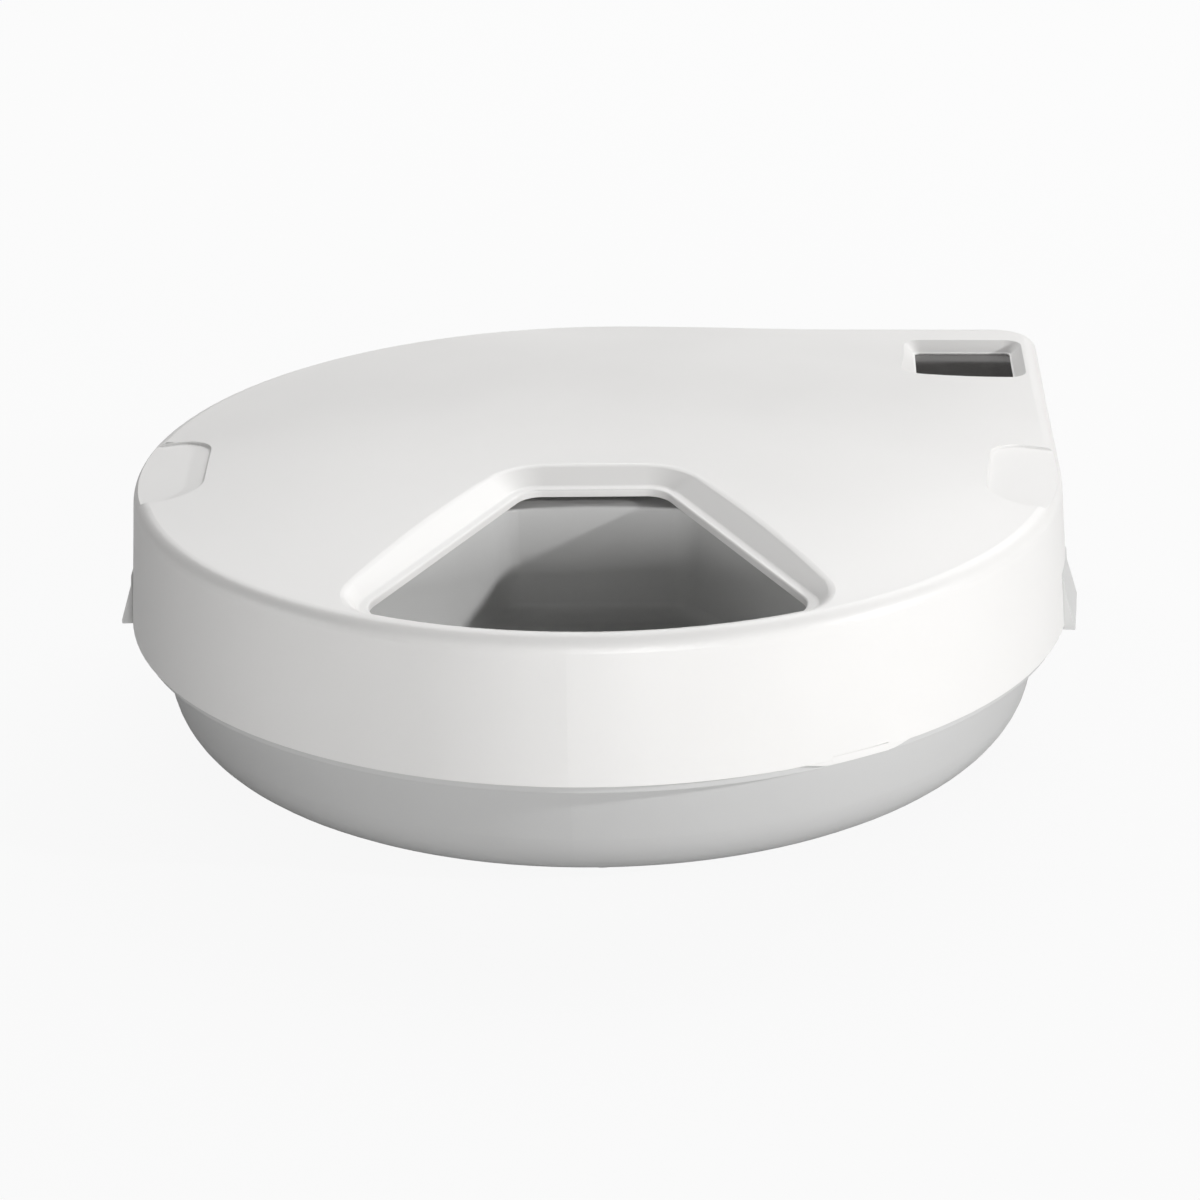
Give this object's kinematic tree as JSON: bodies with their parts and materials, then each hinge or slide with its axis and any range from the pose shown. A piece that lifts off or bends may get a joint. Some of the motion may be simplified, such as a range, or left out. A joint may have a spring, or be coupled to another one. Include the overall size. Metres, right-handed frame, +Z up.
{
  "type": "timed pet food feeder",
  "caption": "Round pet food dispenser with a rounded corner, domed lid with one sector-shaped opening, and a turning bowl of compartments driven by a hidden motor.",
  "frame": {"origin": "on the bowl's turning axis, at the height of the surface that the feet stand on", "axes": "+Z up along the bowl's axis; -Y towards the meal opening; the rounded timer corner lies towards +X +Y"},
  "size_m": [0.2824, 0.276, 0.0871],
  "materials": {
    "lid_white": "white gloss moulded plastic",
    "tub_grey": "mid grey satin moulded plastic",
    "tray_grey": "mid grey satin moulded plastic",
    "bowl_grey": "mid grey smooth food-grade plastic",
    "catch_grey": "mid grey satin moulded plastic",
    "window_tint": "dark tinted clear plastic",
    "rubber": "pale soft rubber",
    "steel": "bright plated steel",
    "acetal_white": "natural acetal",
    "bush_brass": "turned brass",
    "cover_black": "black moulded plastic",
    "motor_can": "plated motor can",
    "cell_wrap": "plain dark wrapped dry cells",
    "contact_nickel": "nickel plated spring steel",
    "board_green": "solder-masked circuit board",
    "display_glass": "plain liquid crystal panel with nothing shown",
    "button_grey": "soft grey button cap",
    "ice_blue": "pale blue blow-moulded pack filled with gel",
    "plug_white": "white moulded plug"
  },
  "bodies": {
    "base": {"base_tub": "tub_grey", "feet": "rubber", "inner_tray": "tray_grey", "pod_cover": "tray_grey", "spindle_bush": "bush_brass", "gearbox_cover": "cover_black", "gear_pins": "steel", "motor": "motor_can", "position_switch": "cover_black", "battery_cells": "cell_wrap", "battery_contacts": "contact_nickel", "circuit_board": "board_green", "display_panel": "display_glass", "screws": "steel"},
    "spindle": {"drive_spindle": "acetal_white", "spindle_gear": "acetal_white", "index_cam": "acetal_white"},
    "second_gear": {"gear_2": "acetal_white"},
    "first_gear": {"gear_1": "acetal_white"},
    "pinion": {"motor_pinion": "acetal_white"},
    "bowl": {"bowl": "bowl_grey"},
    "right_ice_pack": {"ice_pack_right": "ice_blue", "ice_plug_right": "plug_white"},
    "left_ice_pack": {"ice_pack_left": "ice_blue", "ice_plug_left": "plug_white"},
    "lid": {"lid": "lid_white", "display_window": "window_tint", "catch_pins": "steel"},
    "right_catch": {"catch_right": "catch_grey"},
    "left_catch": {"catch_left": "catch_grey"},
    "button_1": {"button_1": "button_grey"},
    "button_2": {"button_2": "button_grey"},
    "button_3": {"button_3": "button_grey"},
    "button_4": {"button_4": "button_grey"},
    "battery_door": {"battery_door": "tub_grey"}
  },
  "joints": [
    {"name": "lid_lift", "type": "slide", "parent": "base", "child": "lid", "axis": [0, 0, 1], "range_m": [0, 0.15]},
    {"name": "spindle_turn", "type": "hinge", "parent": "base", "child": "spindle", "pos_m": [0, 0, 0], "axis": [0, 0, 1], "continuous": true},
    {"name": "bowl_lift", "type": "slide", "parent": "spindle", "child": "bowl", "axis": [0, 0, 1], "range_m": [0, 0.08]},
    {"name": "right_ice_lift", "type": "slide", "parent": "base", "child": "right_ice_pack", "axis": [0, 0, 1], "range_m": [0, 0.04]},
    {"name": "left_ice_lift", "type": "slide", "parent": "base", "child": "left_ice_pack", "axis": [0, 0, 1], "range_m": [0, 0.04]},
    {"name": "second_gear_turn", "type": "hinge", "parent": "base", "child": "second_gear", "pos_m": [0.0125, 0.02165, 0.01], "axis": [0, 0, 1], "continuous": true},
    {"name": "first_gear_turn", "type": "hinge", "parent": "base", "child": "first_gear", "pos_m": [0.03069, 0.03215, 0.012], "axis": [0, 0, 1], "continuous": true},
    {"name": "pinion_turn", "type": "hinge", "parent": "base", "child": "pinion", "pos_m": [0.05169, 0.03215, 0.016], "axis": [0, 0, 1], "continuous": true},
    {"name": "right_catch_swing", "type": "hinge", "parent": "lid", "child": "right_catch", "pos_m": [0.13404, -0.01173, 0.0505], "axis": [-0.0872, -0.9962, 0], "range_deg": [0, 35], "stiffness_Nm_per_rad": 0.02, "springref_deg": -5.73},
    {"name": "left_catch_swing", "type": "hinge", "parent": "lid", "child": "left_catch", "pos_m": [-0.13404, -0.01173, 0.0505], "axis": [-0.0872, 0.9962, 0], "range_deg": [0, 35], "stiffness_Nm_per_rad": 0.02, "springref_deg": -5.73},
    {"name": "button_1_press", "type": "slide", "parent": "base", "child": "button_1", "axis": [0, 0, -1], "range_m": [0, 0.0008], "stiffness_N_per_m": 400, "springref_m": -0.0005},
    {"name": "button_2_press", "type": "slide", "parent": "base", "child": "button_2", "axis": [0, 0, -1], "range_m": [0, 0.0008], "stiffness_N_per_m": 400, "springref_m": -0.0005},
    {"name": "button_3_press", "type": "slide", "parent": "base", "child": "button_3", "axis": [0, 0, -1], "range_m": [0, 0.0008], "stiffness_N_per_m": 400, "springref_m": -0.0005},
    {"name": "button_4_press", "type": "slide", "parent": "base", "child": "button_4", "axis": [0, 0, -1], "range_m": [0, 0.0008], "stiffness_N_per_m": 400, "springref_m": -0.0005},
    {"name": "battery_door_slide", "type": "slide", "parent": "base", "child": "battery_door", "axis": [0, -1, 0], "range_m": [0, 0.015]}
  ],
  "couplings": [
    {"joint": "bowl_lift", "follows": "lid_lift", "ratio": 0.5},
    {"joint": "right_ice_lift", "follows": "lid_lift", "ratio": 0.2},
    {"joint": "left_ice_lift", "follows": "lid_lift", "ratio": 0.2},
    {"joint": "second_gear_turn", "follows": "spindle_turn", "ratio": -4},
    {"joint": "first_gear_turn", "follows": "spindle_turn", "ratio": 12.8},
    {"joint": "pinion_turn", "follows": "spindle_turn", "ratio": -40.96}
  ]
}
